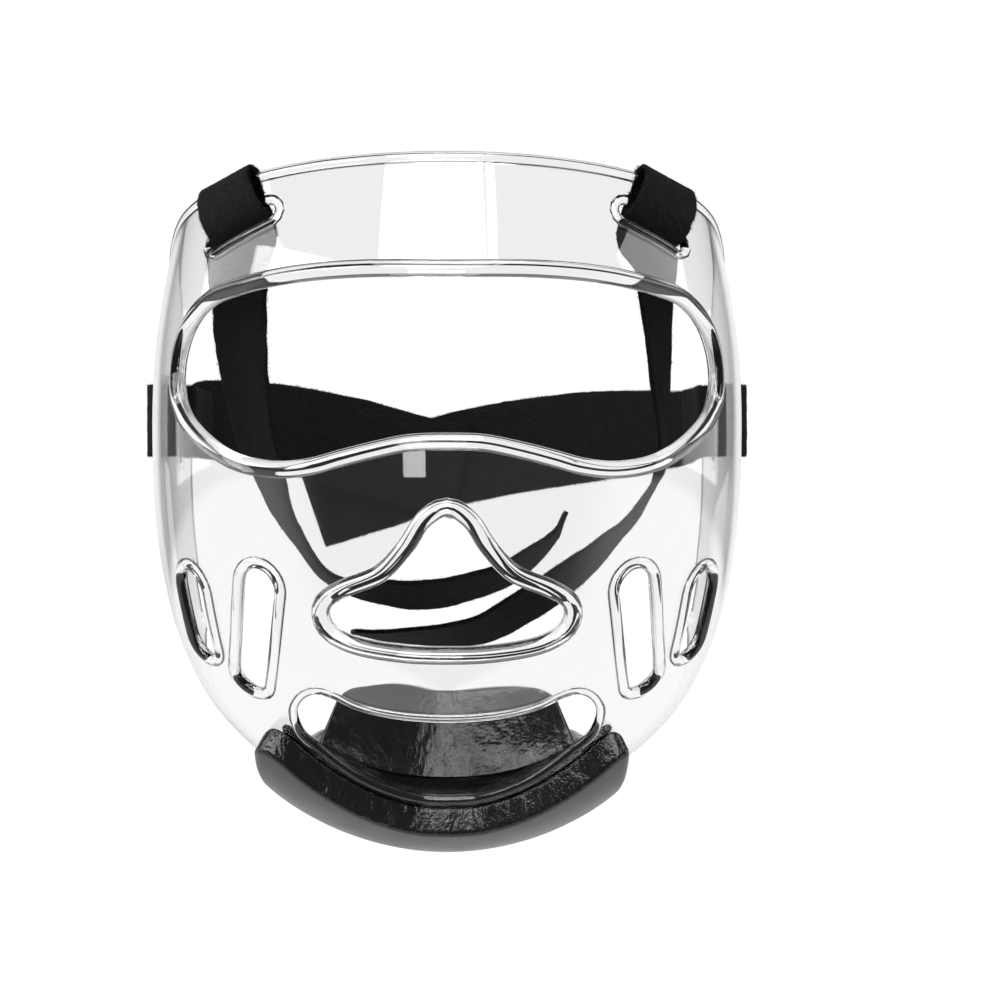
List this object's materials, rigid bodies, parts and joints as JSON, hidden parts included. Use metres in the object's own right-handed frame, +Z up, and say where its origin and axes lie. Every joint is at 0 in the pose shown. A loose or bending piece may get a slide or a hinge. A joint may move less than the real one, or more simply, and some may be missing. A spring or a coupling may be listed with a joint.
{
  "type": "clear face shield with chin guard for sparring headgear",
  "caption": "Clear moulded face shield for sparring headgear with eye, nose, mouth and vent openings, a padded chin guard and black hook-and-loop straps.",
  "frame": {"origin": "middle of the brow's inner face, where the shield sits against the forehead of the headgear", "axes": "+Z up, -Y the way that the wearer looks, +X towards the right of a viewer in front of it"},
  "size_m": [0.2296, 0.2479, 0.2657],
  "materials": {
    "clear_polycarbonate": "clear, glossy moulded polycarbonate",
    "chin_foam": "satin black moulded foam",
    "chin_vinyl": "glossy black grained vinyl over foam",
    "hook_and_loop": "black napped loop pile with a ribbed woven ground"
  },
  "bodies": {
    "root": {"shield": "clear_polycarbonate", "chin_guard": "chin_foam", "chin_liner": "chin_vinyl", "chin_pad": "chin_vinyl", "strap_top_left": "hook_and_loop", "strap_top_right": "hook_and_loop", "strap_side_left": "hook_and_loop", "strap_side_right": "hook_and_loop"}
  },
  "joints": []
}
